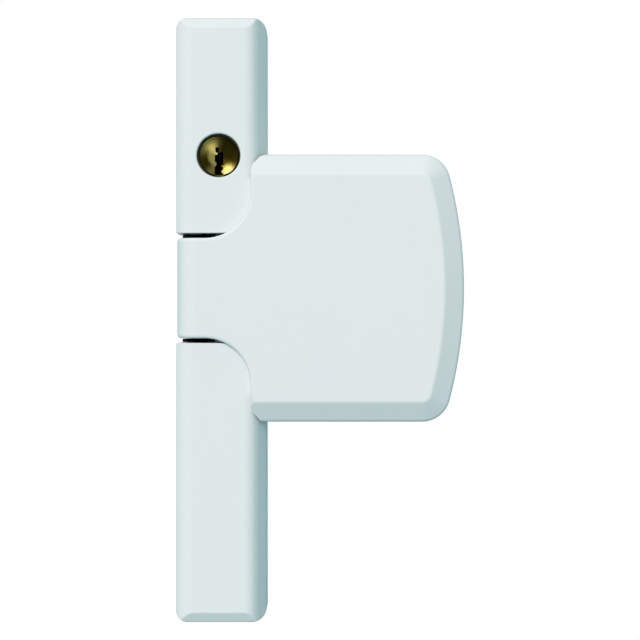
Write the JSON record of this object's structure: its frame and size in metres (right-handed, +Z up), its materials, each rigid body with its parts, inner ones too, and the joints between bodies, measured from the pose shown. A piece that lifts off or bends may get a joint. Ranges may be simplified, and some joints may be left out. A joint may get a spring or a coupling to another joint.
{
  "type": "window lock",
  "caption": "Surface-mounted window lock: a tall bar with a key cylinder, and a wide bevelled leaf that swings out over the sash and is held by a bolt.",
  "frame": {"origin": "middle of the four end screw holes, on the mounting face", "axes": "+Z up along the bar, +X to the right towards the free edge of the leaf, -Y out of the front, with the mounting face at y = 0"},
  "size_m": [0.0748, 0.0326, 0.157],
  "materials": {
    "white_plastic": "moulded, satin, cool white",
    "zinc_plated_steel": "bright zinc plate",
    "black_casting": "die cast, black coated",
    "cylinder_brass": "machined",
    "hardened_steel": "ground",
    "sintered_bronze": "sintered, oiled",
    "black_nylon": "moulded, matt",
    "pad_rubber": "moulded, matt"
  },
  "bodies": {
    "bar": {"base_plate": "zinc_plated_steel", "upper_cover": "white_plastic", "lower_cover": "white_plastic", "lock_case": "black_casting", "lower_bearing": "black_casting", "case_screws": "zinc_plated_steel", "grub_screw": "hardened_steel", "set_screw": "hardened_steel", "cylinder_housing": "cylinder_brass", "chamber_cap": "cylinder_brass", "driver_pins": "hardened_steel", "pin_springs": "hardened_steel", "hinge_pin": "hardened_steel", "hinge_washers": "black_nylon"},
    "leaf": {"leaf_cover": "white_plastic", "leaf_plate": "zinc_plated_steel", "hinge_bushes": "sintered_bronze", "leaf_screws": "zinc_plated_steel", "pressure_pads": "pad_rubber"},
    "plug": {"cylinder_plug": "cylinder_brass", "key_pins": "cylinder_brass", "cam": "zinc_plated_steel", "cam_clip": "hardened_steel"},
    "bolt": {"locking_bolt": "hardened_steel"}
  },
  "joints": [
    {"name": "leaf_swing", "type": "hinge", "parent": "bar", "child": "leaf", "pos_m": [-0.00605, -0.02, 0.0083], "axis": [0, 0, -1], "range_deg": [0, 175]},
    {"name": "plug_turn", "type": "hinge", "parent": "bar", "child": "plug", "pos_m": [-0.0006, -0.02, 0.0426], "axis": [0, 1, 0], "range_deg": [0, 90]},
    {"name": "bolt_throw", "type": "slide", "parent": "bar", "child": "bolt", "axis": [0, 0, -1], "range_m": [0, 0.006]}
  ],
  "couplings": [
    {"joint": "bolt_throw", "follows": "plug_turn", "m_per_rad": 0.0038197}
  ]
}
